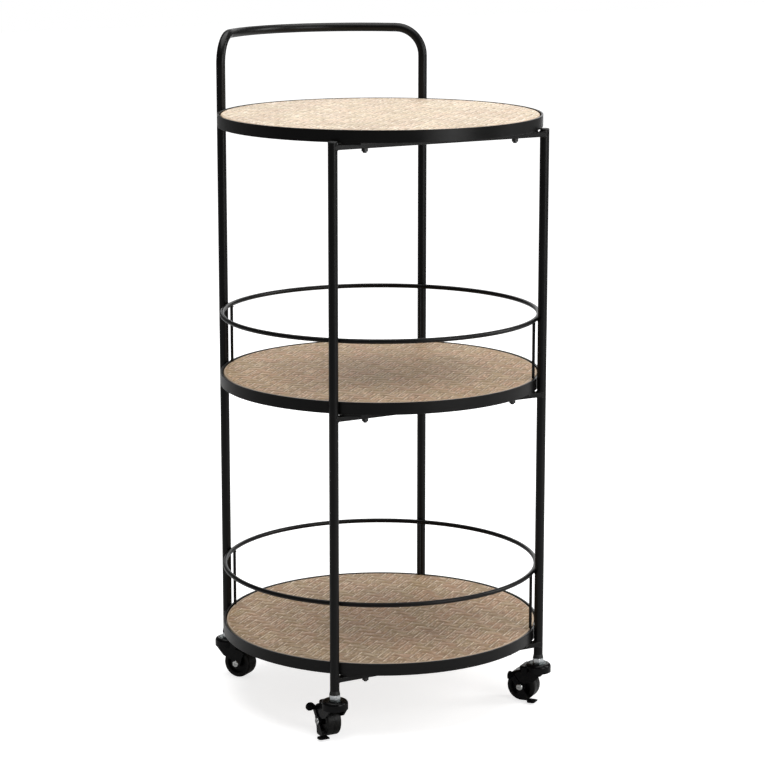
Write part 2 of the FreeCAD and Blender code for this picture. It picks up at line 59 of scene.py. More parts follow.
# How each mat lies on its board: its turn from +X, then its shift along and across its strips.
MAT_LIE = {
    "top": (math.radians(44.0), 2.0 * MM, 5.0 * MM),
    "middle": (math.radians(43.2), 27.0 * MM, -3.7 * MM),
    "bottom": (math.radians(38.6), 15.8 * MM, 3.3 * MM),
}

# ------------------------------------------------------------------ sizes of the weld beads
BAR_BEAD = 0.9 * MM                 # radius of the bead at a cross bar's end
BAR_BEAD_LIFT = 0.1 * MM            # its middle stands this far off the tube
BAR_BEAD_REACH = 1.0 * MM           # it starts this far in front of the tube's axis
POST_RADIUS = 2.0 * MM
POST_HEAD_BEAD = 0.7 * MM
POST_FOOT_BEAD = 0.6 * MM
RIPPLES = 14                        # round one bead
RIPPLE_SWELL = 0.22                 # how much a ripple swells and shrinks it

# ------------------------------------------------------------------ colours, in linear light
COAT_BLACK = (0.0022, 0.0021, 0.0020)
COAT_SMUDGED = (0.0042, 0.0040, 0.0038)
COAT_DUST = (0.10, 0.095, 0.09)
COAT_RUBBED = (0.055, 0.053, 0.05)
WELD_BLACK = (0.0075, 0.0072, 0.0072)
WELD_SMUDGED = (0.014, 0.0135, 0.013)
PLASTIC_DUST = (0.16, 0.15, 0.14)
PLASTIC_SCUFFED = (0.06, 0.06, 0.06)
TYRE_BLACK = (0.003, 0.003, 0.0028)
TYRE_SMUDGED = (0.009, 0.0085, 0.008)
TYRE_DUST = (0.14, 0.13, 0.12)
TYRE_SCUFFED = (0.07, 0.066, 0.06)
CANE_CLOUD = (0.30, 0.235, 0.165)
CANE_FIBRE = (0.22, 0.14, 0.085)
CANE_SHADE = (0.17, 0.11, 0.07)
FILLER_DARK = (0.30, 0.21, 0.14)
FILLER_LIGHT = (0.42, 0.30, 0.20)
BORDER_DARK = (0.50, 0.37, 0.25)
BORDER_LIGHT = (0.66, 0.52, 0.38)
# The five tones of each mat's cane: warm, tan, olive and rose strips, and a pale for light fibres and for
# the painted highlights on their edges.
# Lit and shaded copies of one cane: painted light and sheen make the top tier paler, and painted shade makes
# the lower tiers darker.
CANE_TONES_LIT_PER_TIER = {
    "top": (
        (0.66, 0.50, 0.35),
        (0.76, 0.62, 0.46),
        (0.69, 0.59, 0.42),
        (0.74, 0.56, 0.43),
        (1.0, 0.95, 0.88),
    ),
    "middle": (
        (0.54, 0.32, 0.175),
        (0.66, 0.43, 0.255),
        (0.54, 0.395, 0.205),
        (0.63, 0.36, 0.225),
        (1.0, 0.86, 0.67),
    ),
    "bottom": (
        (0.415, 0.24, 0.125),
        (0.525, 0.33, 0.187),
        (0.422, 0.307, 0.154),
        (0.505, 0.278, 0.171),
        (1.0, 0.86, 0.67),
    ),
}


# ------------------------------------------------------------------ small tools
def deselect():
    if bpy.context.object and bpy.context.object.mode != "OBJECT":
        bpy.ops.object.mode_set(mode="OBJECT")
    bpy.ops.object.select_all(action="DESELECT")


def choose(piece):
    """Make one piece the selected and active one."""
    deselect()
    piece.select_set(True)
    bpy.context.view_layer.objects.active = piece


def settle(piece):
    """Move a finished piece's place into its mesh, so that its object sits at the origin."""
    choose(piece)
    bpy.ops.object.transform_apply(location=True, rotation=True, scale=True)


def finish_piece(piece, name, body, material):
    """Name a piece, give it its material and let it ride on its body."""
    piece.name = name
    piece.data.name = name
    piece.data.materials.clear()
    piece.data.materials.append(material)
    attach(piece, body)


def join(pieces):
    """Make several pieces one mesh, which is left selected and active."""
    deselect()
    for piece in pieces:
        piece.select_set(True)
    bpy.context.view_layer.objects.active = pieces[0]
    bpy.ops.object.join()
    return bpy.context.object


def pick(piece, test):
    """Leave the piece in edit mode with the vertices selected whose place passes the test."""
    choose(piece)
    bpy.ops.object.mode_set(mode="EDIT")
    bpy.ops.mesh.select_mode(type="VERT")
    bpy.ops.mesh.select_all(action="DESELECT")
    bpy.ops.object.mode_set(mode="OBJECT")
    for vertex in piece.data.vertices:
        vertex.select = test(vertex.co)
    bpy.ops.object.mode_set(mode="EDIT")


def lift(piece, rise, test):
    """Lift the vertices whose place passes the test."""
    pick(piece, test)
    bpy.ops.transform.translate(value=(0, 0, rise))


def repeat(piece, count, step):
    """Repeat a piece along a step, as one mesh."""
    choose(piece)
    array = piece.modifiers.new("repeat", "ARRAY")
    array.count = count
    array.use_relative_offset = False
    array.use_constant_offset = True
    array.constant_offset_displace = step
    bpy.ops.object.modifier_apply(modifier=array.name)


# ------------------------------------------------------------------ shader tools
def new_material(name):
    """A material with a Principled shader. Returns the material, its node tree and the shader."""
    material = bpy.data.materials.new(name)
    material.use_nodes = True
    tree = material.node_tree
    return material, tree, tree.nodes["Principled BSDF"]


def new_group(name, inputs, outputs):
    """A shader node group of numbers. inputs are (name, default) and outputs are names."""
    tree = bpy.data.node_groups.new(name, "ShaderNodeTree")
    for label, default in inputs:
        socket = tree.interface.new_socket(name=label, in_out="INPUT", socket_type="NodeSocketFloat")
        socket.default_value = default
    for label in outputs:
        tree.interface.new_socket(name=label, in_out="OUTPUT", socket_type="NodeSocketFloat")
    return tree, tree.nodes.new("NodeGroupInput"), tree.nodes.new("NodeGroupOutput")


def place_group(tree, group, **values):
    """Put a node group into a material. Each value goes to the input of that name."""
    node = tree.nodes.new("ShaderNodeGroup")
    node.node_tree = group
    for label, value in values.items():
        node.inputs[label.replace("_", " ")].default_value = value
    return node


def feed(tree, socket, value):
    """Give an input a number, an (r, g, b) colour or the link from another socket."""
    if isinstance(value, (int, float)):
        socket.default_value = value
    elif isinstance(value, tuple):
        socket.default_value = (*value, 1.0)
    else:
        tree.links.new(value, socket)


def math_node(tree, operation, *terms):
    """One sum of numbers and sockets. Returns the result's socket."""
    node = tree.nodes.new("ShaderNodeMath")
    node.operation = operation
    for socket, term in zip(node.inputs, terms):
        feed(tree, socket, term)
    return node.outputs["Value"]


def times(tree, first, second):
    return math_node(tree, "MULTIPLY", first, second)


def blend_colours(tree, factor, first, second):
    """Mix two colours, each a socket or an (r, g, b)."""
    node = tree.nodes.new("ShaderNodeMix")
    node.data_type = "RGBA"
    feed(tree, node.inputs["Factor"], factor)
    feed(tree, node.inputs["A"], first)
    feed(tree, node.inputs["B"], second)
    return node.outputs["Result"]


def blend_numbers(tree, factor, first, second):
    """first where the factor is 0 and second where it is 1."""
    if isinstance(first, (int, float)) and isinstance(second, (int, float)):
        return math_node(tree, "MULTIPLY_ADD", factor, second - first, first)
    difference = math_node(tree, "SUBTRACT", second, first)
    return math_node(tree, "MULTIPLY_ADD", difference, factor, first)


def spread(tree, value, low, high, out_low=0.0, out_high=1.0):
    """Map a value from low..high onto out_low..out_high, held at both ends."""
    node = tree.nodes.new("ShaderNodeMapRange")
    node.inputs["From Min"].default_value = low
    node.inputs["From Max"].default_value = high
    node.inputs["To Min"].default_value = out_low
    node.inputs["To Max"].default_value = out_high
    tree.links.new(value, node.inputs["Value"])
    return node.outputs["Result"]


def noise(tree, vector, scale, detail, roughness):
    node = tree.nodes.new("ShaderNodeTexNoise")
    feed(tree, node.inputs["Scale"], scale)
    node.inputs["Detail"].default_value = detail
    node.inputs["Roughness"].default_value = roughness
    tree.links.new(vector, node.inputs["Vector"])
    return node.outputs["Fac"]


def object_place(tree):
    return tree.nodes.new("ShaderNodeTexCoord").outputs["Object"]


def stretched(tree, vector, scale):
    node = tree.nodes.new("ShaderNodeMapping")
    node.inputs["Scale"].default_value = scale
    tree.links.new(vector, node.inputs["Vector"])
    return node.outputs["Vector"]


def split_vector(tree, vector):
    node = tree.nodes.new("ShaderNodeSeparateXYZ")
    tree.links.new(vector, node.inputs["Vector"])
    return node.outputs


def make_vector(tree, x, y, z=0.0):
    node = tree.nodes.new("ShaderNodeCombineXYZ")
    for label, value in (("X", x), ("Y", y), ("Z", z)):
        feed(tree, node.inputs[label], value)
    return node.outputs["Vector"]


def vector_length(tree, vector):
    node = tree.nodes.new("ShaderNodeVectorMath")
    node.operation = "LENGTH"
    tree.links.new(vector, node.inputs[0])
    return node.outputs["Value"]


def bump(tree, shader, height, distance, strength):
    node = tree.nodes.new("ShaderNodeBump")
    node.inputs["Strength"].default_value = strength
    node.inputs["Distance"].default_value = distance
    tree.links.new(height, node.inputs["Height"])
    tree.links.new(node.outputs["Normal"], shader.inputs["Normal"])


# ------------------------------------------------------------------ shared effects
def surface_grain():
    """Fine pebbling of a coated or moulded surface, with faint smudges over it."""
    inputs = [("Pebble Scale", 2500.0), ("Smudge Scale", 18.0)]
    group, given, out = new_group("surface_grain", inputs, ["Height", "Smudge"])
    place = object_place(group)
    pebbles = noise(group, place, given.outputs["Pebble Scale"], 2.0, 0.5)
    smudges = noise(group, place, given.outputs["Smudge Scale"], 4.0, 0.65)
    group.links.new(pebbles, out.inputs["Height"])
    group.links.new(spread(group, smudges, 0.35, 0.7), out.inputs["Smudge"])
    return group


def edge_wear():
    """Where a sharp edge has been rubbed, broken up by noise: 1 on worn edges, 0 elsewhere."""
    group, given, out = new_group("edge_wear", [("Width", 0.0006), ("Amount", 0.5)], ["Mask"])
    soft = group.nodes.new("ShaderNodeBevel")
    soft.samples = 4
    group.links.new(given.outputs["Width"], soft.inputs["Radius"])
    dot = group.nodes.new("ShaderNodeVectorMath")
    dot.operation = "DOT_PRODUCT"
    group.links.new(soft.outputs["Normal"], dot.inputs[0])
    group.links.new(group.nodes.new("ShaderNodeNewGeometry").outputs["Normal"], dot.inputs[1])
    edge = spread(group, dot.outputs["Value"], 0.99, 0.8)
    patches = spread(group, noise(group, object_place(group), 160.0, 5.0, 0.7), 0.45, 0.62)
    worn = times(group, edge, patches)
    group.links.new(times(group, worn, given.outputs["Amount"]), out.inputs["Mask"])
    return group


def dust():
    """Light dust that settles on faces that look up: 0 on walls and below, up to 1 on top."""
    group, given, out = new_group("dust", [("Amount", 0.3)], ["Mask"])
    normal = group.nodes.new("ShaderNodeNewGeometry").outputs["Normal"]
    upward = spread(group, split_vector(group, normal)["Z"], 0.3, 1.0)
    specks = spread(group, noise(group, object_place(group), 45.0, 6.0, 0.75), 0.4, 0.8)
    settled = times(group, upward, specks)
    group.links.new(times(group, settled, given.outputs["Amount"]), out.inputs["Mask"])
    return group


GRAIN = surface_grain()
WEAR = edge_wear()
DUST = dust()


# ------------------------------------------------------------------ steel, plastic and rubber
def coated_steel():
    """Satin black powder coat with a fine peel, rubbed a little grey on its edges."""
    material, tree, shader = new_material("black_steel")
    grain = place_group(tree, GRAIN, Pebble_Scale=1400.0, Smudge_Scale=14.0)
    wear = place_group(tree, WEAR, Width=0.7 * MM, Amount=0.35)
    settled = place_group(tree, DUST, Amount=0.06)
    coat = blend_colours(tree, grain.outputs["Smudge"], COAT_BLACK, COAT_SMUDGED)
    dusty = blend_colours(tree, settled.outputs["Mask"], coat, COAT_DUST)
    worn = blend_colours(tree, wear.outputs["Mask"], dusty, COAT_RUBBED)
    tree.links.new(worn, shader.inputs["Base Color"])
    tree.links.new(blend_numbers(tree, grain.outputs["Smudge"], 0.30, 0.38), shader.inputs["Roughness"])
    shader.inputs["Specular IOR Level"].default_value = 0.2
    bump(tree, shader, grain.outputs["Height"], 0.06 * MM, 0.5)
    return material


def weld_steel():
    """The same coat over a weld bead, a little rougher."""
    material, tree, shader = new_material("weld_steel")
    grain = place_group(tree, GRAIN, Pebble_Scale=1100.0, Smudge_Scale=90.0)
    coat = blend_colours(tree, grain.outputs["Smudge"], WELD_BLACK, WELD_SMUDGED)
    tree.links.new(coat, shader.inputs["Base Color"])
    tree.links.new(blend_numbers(tree, grain.outputs["Smudge"], 0.45, 0.6), shader.inputs["Roughness"])
    shader.inputs["Specular IOR Level"].default_value = 0.32
    bump(tree, shader, grain.outputs["Height"], 0.12 * MM, 0.6)
    return material


def moulded_plastic(name, colour, smudged, roughness, pebbles, gloss):
    """Moulded black plastic with a fine grain and handling marks."""
    material, tree, shader = new_material(name)
    grain = place_group(tree, GRAIN, Pebble_Scale=pebbles, Smudge_Scale=60.0)
    wear = place_group(tree, WEAR, Width=0.4 * MM, Amount=0.5)
    settled = place_group(tree, DUST, Amount=0.04)
    tone = blend_colours(tree, grain.outputs["Smudge"], colour, smudged)
    dusty = blend_colours(tree, settled.outputs["Mask"], tone, PLASTIC_DUST)
    scuffed = blend_colours(tree, wear.outputs["Mask"], dusty, PLASTIC_SCUFFED)
    tree.links.new(scuffed, shader.inputs["Base Color"])
    rough = blend_numbers(tree, grain.outputs["Smudge"], roughness, roughness + 0.12)
    tree.links.new(rough, shader.inputs["Roughness"])
    shader.inputs["Specular IOR Level"].default_value = gloss
    bump(tree, shader, grain.outputs["Height"], 0.04 * MM, 0.5)
    return material


def plated_steel(name, colour, tint, roughness):
    """Bright plating with fine turning marks and duller patches of another tint."""
    material, tree, shader = new_material(name)
    grain = place_group(tree, GRAIN, Pebble_Scale=900.0, Smudge_Scale=220.0)
    turned = noise(tree, stretched(tree, object_place(tree), (60, 60, 5200)), 1.0, 2.0, 0.6)
    tone = blend_colours(tree, grain.outputs["Smudge"], colour, tint)
    tree.links.new(tone, shader.inputs["Base Color"])
    rough = blend_numbers(tree, grain.outputs["Smudge"], roughness, roughness + 0.18)
    tree.links.new(rough, shader.inputs["Roughness"])
    shader.inputs["Metallic"].default_value = 1.0
    bump(tree, shader, turned, 0.03 * MM, 0.5)
    return material


def rubber():
    """Dark tyre, scuffed pale along its edges."""
    material, tree, shader = new_material("tyre")
    grain = place_group(tree, GRAIN, Pebble_Scale=1800.0, Smudge_Scale=120.0)
    wear = place_group(tree, WEAR, Width=1.2 * MM, Amount=0.7)
    settled = place_group(tree, DUST, Amount=0.08)
    tone = blend_colours(tree, grain.outputs["Smudge"], TYRE_BLACK, TYRE_SMUDGED)
    dusty = blend_colours(tree, settled.outputs["Mask"], tone, TYRE_DUST)
    scuffed = blend_colours(tree, wear.outputs["Mask"], dusty, TYRE_SCUFFED)
    tree.links.new(scuffed, shader.inputs["Base Color"])
    tree.links.new(blend_numbers(tree, grain.outputs["Smudge"], 0.32, 0.5), shader.inputs["Roughness"])
    shader.inputs["Specular IOR Level"].default_value = 0.18
    bump(tree, shader, grain.outputs["Height"], 0.1 * MM, 0.6)
    return material


# ------------------------------------------------------------------ the twill's pattern
# Each function below works out one property of the strip that is on top at a point. upright
# is 1 on strips along y and 0 on strips along x. along and beside run from 0 to 1 along and
# across the strip's float.
def mat_place(group, given):
    """The point in the mat's own axes, turned and shifted as the mat lies."""
    turned = group.nodes.new("ShaderNodeVectorRotate")
    turned.rotation_type = "Z_AXIS"
    group.links.new(object_place(group), turned.inputs["Vector"])
    group.links.new(times(group, given.outputs["Turn"], -1.0), turned.inputs["Angle"])
    split = split_vector(group, turned.outputs["Vector"])
    x = math_node(group, "SUBTRACT", split["X"], given.outputs["Shift Along"])
    y = math_node(group, "SUBTRACT", split["Y"], given.outputs["Shift Across"])
    across_strips = math_node(group, "DIVIDE", x, STRIP_PITCH)
    up_strips = math_node(group, "DIVIDE", y, STRIP_PITCH)
    return turned.outputs["Vector"], across_strips, up_strips


def top_strip(group, across_strips, up_strips):
    """Which strip is on top: upright, along, beside, and the square where its float starts."""
    column = math_node(group, "FLOOR", across_strips)
    row = math_node(group, "FLOOR", up_strips)
    u = math_node(group, "FRACT", across_strips)
    v = math_node(group, "FRACT", up_strips)
    # In each run of four, two squares belong to a strip along x and two to a strip along y.
    step = math_node(group, "FLOORED_MODULO", math_node(group, "SUBTRACT", column, row), 4.0)
    upright = math_node(group, "GREATER_THAN", step, 1.5)
    down = math_node(group, "SUBTRACT", 3.0, step)
    lying_along = times(group, math_node(group, "ADD", step, u), 0.5)
    upright_along = times(group, math_node(group, "ADD", down, v), 0.5)
    along = blend_numbers(group, upright, lying_along, upright_along)
    beside = blend_numbers(group, upright, v, u)
    start_column = math_node(group, "SUBTRACT", column, blend_numbers(group, upright, step, 0.0))
    start_row = math_node(group, "SUBTRACT", row, times(group, down, upright))
    return upright, along, beside, make_vector(group, start_column, start_row, upright)


def strip_height(group, off_middle, rise):
    """Each strip is crowned across and dips at both ends, where it goes under."""
    crown = math_node(group, "SUBTRACT", 1.0, math_node(group, "POWER", off_middle, 5.0))
    return times(group, crown, math_node(group, "POWER", rise, 0.4))


def painted_stroke_highlights(group, place, upright, along, beside, off_middle, rise, draw):
    """Painted highlight: the strips along x get a pale far edge and those along y a pale far end, as if lit
    from behind, and some floats glint brighter.
    """
    far_edge = spread(group, beside, 0.80, 0.88)
    first_half = spread(group, along, 0.62, 0.40, 0.45, 1.0)
    ends_off = spread(group, rise, 0.04, 0.16)
    edge_highlight = times(group, times(group, far_edge, first_half), ends_off)
    far_end = spread(group, along, 0.905, 0.935)
    sides_off = spread(group, off_middle, 0.96, 0.86)
    highlight = blend_numbers(group, upright, edge_highlight, times(group, far_end, sides_off))
    glint = spread(group, math_node(group, "POWER", draw, 1.6), 0.0, 1.0, 0.65, 1.0)
    ragged = spread(group, noise(group, place, 200.0, 3.0, 0.7), 0.36, 0.52, 0.2, 1.0)
    return times(group, times(group, highlight, glint), ragged)


def near_shade(group, upright, along, beside):
    """The strips' near edges and near ends lie in shade."""
    near_edge = spread(group, beside, 0.20, 0.06)
    near_end = spread(group, along, 0.11, 0.03)
    edge_shade = times(group, near_edge, spread(group, along, 0.3, 0.6, 0.45, 1.0))
    lying_shade = math_node(group, "MAXIMUM", edge_shade, times(group, near_end, 0.6))
    side_shade = times(group, spread(group, beside, 0.16, 0.02), 0.5)
    upright_shade = math_node(group, "MAXIMUM", near_end, side_shade)
    return blend_numbers(group, upright, lying_shade, upright_shade)


def strand_edge_highlights(group, place, beside, rise):
    """Each strip is a few strands side by side, and here and there a strand's far edge gets a painted
    highlight.
    """
    strand = math_node(group, "FRACT", times(group, beside, float(STRANDS)))
    edge = spread(group, strand, 0.62, 0.84)
    patchy = spread(group, noise(group, place, 95.0, 2.0, 0.6), 0.46, 0.60)
    return times(group, times(group, edge, patchy), spread(group, rise, 0.04, 0.16))


def fibres(group, along, beside, draw):
    """Fibres run along each strip, and no two strips have the same ones."""
    place = make_vector(group, times(group, along, 2.5), times(group, beside, 5.0), times(group, draw, 90.0))
    return noise(group, place, 1.0, 4.0, 0.65)


def twill_weave():
    """Flat strips that pass over two and under two, each row one strip further along than the last."""
    group, given, out = new_group(
        "twill_weave",
        [("Turn", 0.0), ("Shift Along", 0.0), ("Shift Across", 0.0)],
        ["Height", "Tone", "Second Tone", "Stroke Highlight", "Shade", "Strand Highlight", "Fibre"])
    place, across_strips, up_strips = mat_place(group, given)
    upright, along, beside, start = top_strip(group, across_strips, up_strips)
    off_middle = math_node(group, "ABSOLUTE", math_node(group, "MULTIPLY_ADD", beside, 2.0, -1.0))
    rise = times(group, times(group, along, math_node(group, "SUBTRACT", 1.0, along)), 4.0)

    # Three draws for every float between two dips.
    draw = group.nodes.new("ShaderNodeTexWhiteNoise")
    group.links.new(start, draw.inputs["Vector"])
    channels = group.nodes.new("ShaderNodeSeparateColor")
    group.links.new(draw.outputs["Color"], channels.inputs["Color"])

    results = {
        "Height": strip_height(group, off_middle, rise),
        "Tone": draw.outputs["Value"],
        "Second Tone": channels.outputs["Green"],
        "Stroke Highlight": painted_stroke_highlights(group, place, upright, along, beside, off_middle, rise,
                               channels.outputs["Red"]),
        "Shade": near_shade(group, upright, along, beside),
        "Strand Highlight": strand_edge_highlights(group, place, beside, rise),
        "Fibre": fibres(group, along, beside, draw.outputs["Value"]),
    }
    for label, value in results.items():
        group.links.new(value, out.inputs[label])
    return group


WEAVE = twill_weave()


def place_weave(tree, tier):
    turn, shift_along, shift_across = MAT_LIE[tier]
    return place_group(tree, WEAVE, Turn=turn, Shift_Along=shift_along, Shift_Across=shift_across)


# ------------------------------------------------------------------ cane and boards
def strip_tones(tree, weave, warm, tan, olive, rose):
    """A tone of its own for every strip, with a slow drift and soft clouds over the whole mat."""
    place = object_place(tree)
    strips = blend_colours(tree, weave.outputs["Tone"], warm, tan)
    toned = blend_colours(tree, times(tree, weave.outputs["Second Tone"], 0.6), strips, olive)
    drift = spread(tree, noise(tree, place, 34.0, 2.0, 0.5), 0.44, 0.58)
    drifted = blend_colours(tree, 0.4, toned, blend_colours(tree, drift, olive, rose))
    clouds = spread(tree, noise(tree, place, 13.0, 2.0, 0.5), 0.42, 0.62)
    return blend_colours(tree, times(tree, clouds, 0.22), drifted, CANE_CLOUD)


def woven_strips(tier):
    """Split cane of mixed tones with fibres along each strip, painted highlights on the far edges and
    painted shade on the near ones.
    """
    material, tree, shader = new_material("woven_strips_" + tier)
    weave = place_weave(tree, tier)
    fibre = weave.outputs["Fibre"]
    # Each tier's tones carry painted light: paler on top, darker lower down.
    warm, tan, olive, rose, pale = CANE_TONES_LIT_PER_TIER[tier]
    colour = strip_tones(tree, weave, warm, tan, olive, rose)
    colour = blend_colours(tree, spread(tree, fibre, 0.46, 0.62, 0.0, 0.62), colour, CANE_FIBRE)
    colour = blend_colours(tree, spread(tree, fibre, 0.45, 0.33, 0.0, 0.5), colour, pale)
    colour = blend_colours(tree, times(tree, weave.outputs["Shade"], 0.45), colour, CANE_SHADE)
    # Painted highlight along the strands' far edges.
    colour = blend_colours(tree, times(tree, weave.outputs["Strand Highlight"], 0.45), colour, pale)
    # Painted highlight: pale strokes along the strips' far edges and far ends.
    colour = blend_colours(tree, weave.outputs["Stroke Highlight"], colour, pale)
    tree.links.new(colour, shader.inputs["Base Color"])
    tree.links.new(blend_numbers(tree, fibre, 0.46, 0.66), shader.inputs["Roughness"])
    shader.inputs["Specular IOR Level"].default_value = 0.25
    surface = math_node(tree, "MULTIPLY_ADD", fibre, 0.5, weave.outputs["Height"])
    bump(tree, shader, surface, 0.3 * MM, 1.0)
    return material


def board_wood(tier, mat_radius):
    """The board under the mat: dark filler between the strips, and a plain pale border and edge."""
    material, tree, shader = new_material("board_" + tier)
    place = object_place(tree)
    weave = place_weave(tree, tier)
    split = split_vector(tree, place)
    from_axis = vector_length(tree, make_vector(tree, split["X"], split["Y"]))
    plain = spread(tree, from_axis, mat_radius - 0.4 * MM, mat_radius)
    filler = blend_colours(tree, weave.outputs["Fibre"], FILLER_DARK, FILLER_LIGHT)
    grain_lines = noise(tree, stretched(tree, place, (30, 420, 420)), 1.0, 5.0, 0.6)
    border = blend_colours(tree, spread(tree, grain_lines, 0.3, 0.7), BORDER_DARK, BORDER_LIGHT)
    tree.links.new(blend_colours(tree, plain, filler, border), shader.inputs["Base Color"])
    tree.links.new(spread(tree, grain_lines, 0.2, 0.8, 0.45, 0.65), shader.inputs["Roughness"])
    shader.inputs["Specular IOR Level"].default_value = 0.4
    bump(tree, shader, grain_lines, 0.12 * MM, 0.6)
    return material


# ------------------------------------------------------------------ weld beads
def ripple(bead, middle):
    """Give a bead its ripples: it swells and shrinks on the way round."""
    for vertex in bead.data.vertices:
        arm = vertex.co - middle
        turn = math.atan2(arm.y, arm.x) * RIPPLES
        swell = 1 + RIPPLE_SWELL * (math.sin(turn) + 0.5 * math.sin(2.3 * turn + 1.1))
        vertex.co.z = middle.z + arm.z * swell


def ring_bead(ring_radius, bead_radius, middle):
    """A rippled bead right round a vertical tube."""
    deselect()
    bpy.ops.mesh.primitive_torus_add(location=middle, major_radius=ring_radius, minor_radius=bead_radius,
                                     major_segments=48, minor_segments=10)
    bead = bpy.context.object
    settle(bead)
    ripple(bead, middle)
    bpy.ops.object.shade_smooth()
    return bead


def part_bead(ring_radius, bead_radius, middle, facing, reach):
    """The part of such a bead that lies further than reach on the side that it faces."""
    bead = ring_bead(ring_radius, bead_radius, middle)
    bpy.ops.object.mode_set(mode="EDIT")
    bpy.ops.mesh.select_all(action="SELECT")
    bpy.ops.mesh.bisect(plane_co=middle + facing * reach, plane_no=facing, use_fill=True, clear_inner=True)
    bpy.ops.mesh.select_all(action="SELECT")
    bpy.ops.mesh.normals_make_consistent(inside=False)
    bpy.ops.object.mode_set(mode="OBJECT")
    bpy.ops.object.shade_smooth()
    return bead


def leg_bead(place, out, rod_radius, z):
    """A short upright bead that ties a gallery ring to a leg."""
    deselect()
    bpy.ops.mesh.primitive_uv_sphere_add(segments=16, ring_count=10, radius=1.0, location=(0, 0, 0))
    bead = bpy.context.object
    for vertex in bead.data.vertices:
        x, y, up = vertex.co
        swell = 1 + 0.12 * math.sin(9 * up)
        vertex.co = Vector((0.7 * MM * x, 1.5 * MM * y * swell, 0.8 * rod_radius * up))
    turn = Matrix.Rotation(math.atan2(out.y, out.x), 4, "Z")
    bead.data.transform(Matrix.Translation((place.x, place.y, z)) @ turn)
    bpy.ops.object.shade_smooth()
    return bead


def leg_places():
    """The four leg axes, as (x, y), worked out from the stems below them."""
    places = {}
    for corner in CORNERS:
        low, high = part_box("caster_" + corner + "_stem")
        places[corner] = ((low + high) / 2).xy
    return places


def leg_radius():
    low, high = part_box("front_left_leg")
    return (high.x - low.x) / 2


def crossbar_welds(material):
    """A bead over and under each end of every cross bar, round the tube that it meets."""
    legs = leg_places()
    ring_radius = leg_radius() + BAR_BEAD_LIFT
    for side in ("front", "back"):
        for tier in TIERS:
            low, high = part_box(side + "_crossbar_" + tier)
            beads = []
            for hand, inward in (("left", 1), ("right", -1)):
                leg = legs[side + "_" + hand]
                for z in (low.z, high.z):
                    middle = Vector((leg.x, leg.y, z))
                    facing = Vector((inward, 0, 0))
                    beads.append(part_bead(ring_radius, BAR_BEAD, middle, facing, BAR_BEAD_REACH))
            finish_piece(join(beads), "weld_" + side + "_crossbar_" + tier, "frame", material)


def gallery_welds(material):
    """Beads at the head of each post, at its foot on the band, and where a ring meets a leg."""
    legs = leg_places()
    for tier in GALLERY_TIERS:
        ring_low, ring_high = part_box(tier + "_gallery_ring")
        rod_radius = (ring_high.z - ring_low.z) / 2
        ring_z = (ring_low.z + ring_high.z) / 2
        head_z = ring_low.z + 0.3 * MM
        foot_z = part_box(tier + "_rim")[1].z - 0.2 * MM
        post_circle = (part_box(tier + "_gallery_posts")[1].x - POST_RADIUS) * math.sqrt(2)
        beads = []
        for corner in CORNERS:
            out = Vector((*legs[corner], 0)).normalized()
            x, y, _ = out * post_circle
            head = Vector((x, y, head_z))
            foot = Vector((x, y, foot_z))
            beads.append(ring_bead(POST_RADIUS + 0.2 * MM, POST_HEAD_BEAD, head))
            beads.append(part_bead(POST_RADIUS, POST_FOOT_BEAD, foot, out, POST_FOOT_BEAD))
            beads.append(leg_bead(out * ring_high.x, out, rod_radius, ring_z))
        finish_piece(join(beads), "weld_" + tier + "_gallery", "frame", material)


# ------------------------------------------------------------------ woven mats
def cane_strip():
    """One float of a strip: crowned across, dipping under its neighbours at both ends."""
    deselect()
    bpy.ops.mesh.primitive_grid_add(x_subdivisions=6, y_subdivisions=4, size=1.0)
    strip = bpy.context.object
    strip.scale = (STRIP_LENGTH, STRIP_WIDTH, 1)
    settle(strip)

    def inside(x_share, y_share):
        """A test for the vertices within these shares of the length and the width."""
        return lambda co: abs(co.x) < x_share * STRIP_LENGTH and abs(co.y) < y_share * STRIP_WIDTH

    # The grid's outer rows but one move out towards the ends and the sides.
    pick(strip, lambda co: 0.3 < abs(co.x) / STRIP_LENGTH < 0.4)
    bpy.ops.transform.resize(value=(1.32, 1, 1))
    pick(strip, lambda co: 0.2 < abs(co.y) / STRIP_WIDTH < 0.3)
    bpy.ops.transform.resize(value=(1, 1.66, 1))
    # All but the rim rises, and the middle rises a little more along and across.
    lift(strip, 0.72 * STRIP_RISE, inside(0.47, 0.45))
    lift(strip, 0.14 * STRIP_RISE, inside(0.3, 0.45))
    lift(strip, 0.14 * STRIP_RISE, inside(0.47, 0.1))
    # The rim closes below. Each corner folds from its tip, so that none lies flat on the underside.
    pick(strip, lambda co: abs(co.x) > 0.49 * STRIP_LENGTH or abs(co.y) > 0.49 * STRIP_WIDTH)
    bpy.ops.mesh.edge_face_add()
    bpy.ops.transform.translate(value=(0, 0, -STRIP_SINK))
    bpy.ops.mesh.select_all(action="SELECT")
    bpy.ops.mesh.quads_convert_to_tris(quad_method="LONGEST_DIAGONAL")
    bpy.ops.object.mode_set(mode="OBJECT")
    return strip


def twill_block():
    """The smallest piece of twill that repeats: four strips along x and four along y."""
    lying = cane_strip()
    lying.location = (STRIP_PITCH, 0.5 * STRIP_PITCH, 0)
    settle(lying)
    upright = cane_strip()
    upright.rotation_euler = (0, 0, math.radians(90))
    upright.location = (3.5 * STRIP_PITCH, STRIP_PITCH, 0)
    settle(upright)
    block = join([lying, upright])
    repeat(block, 4, (STRIP_PITCH, STRIP_PITCH, 0))
    return block


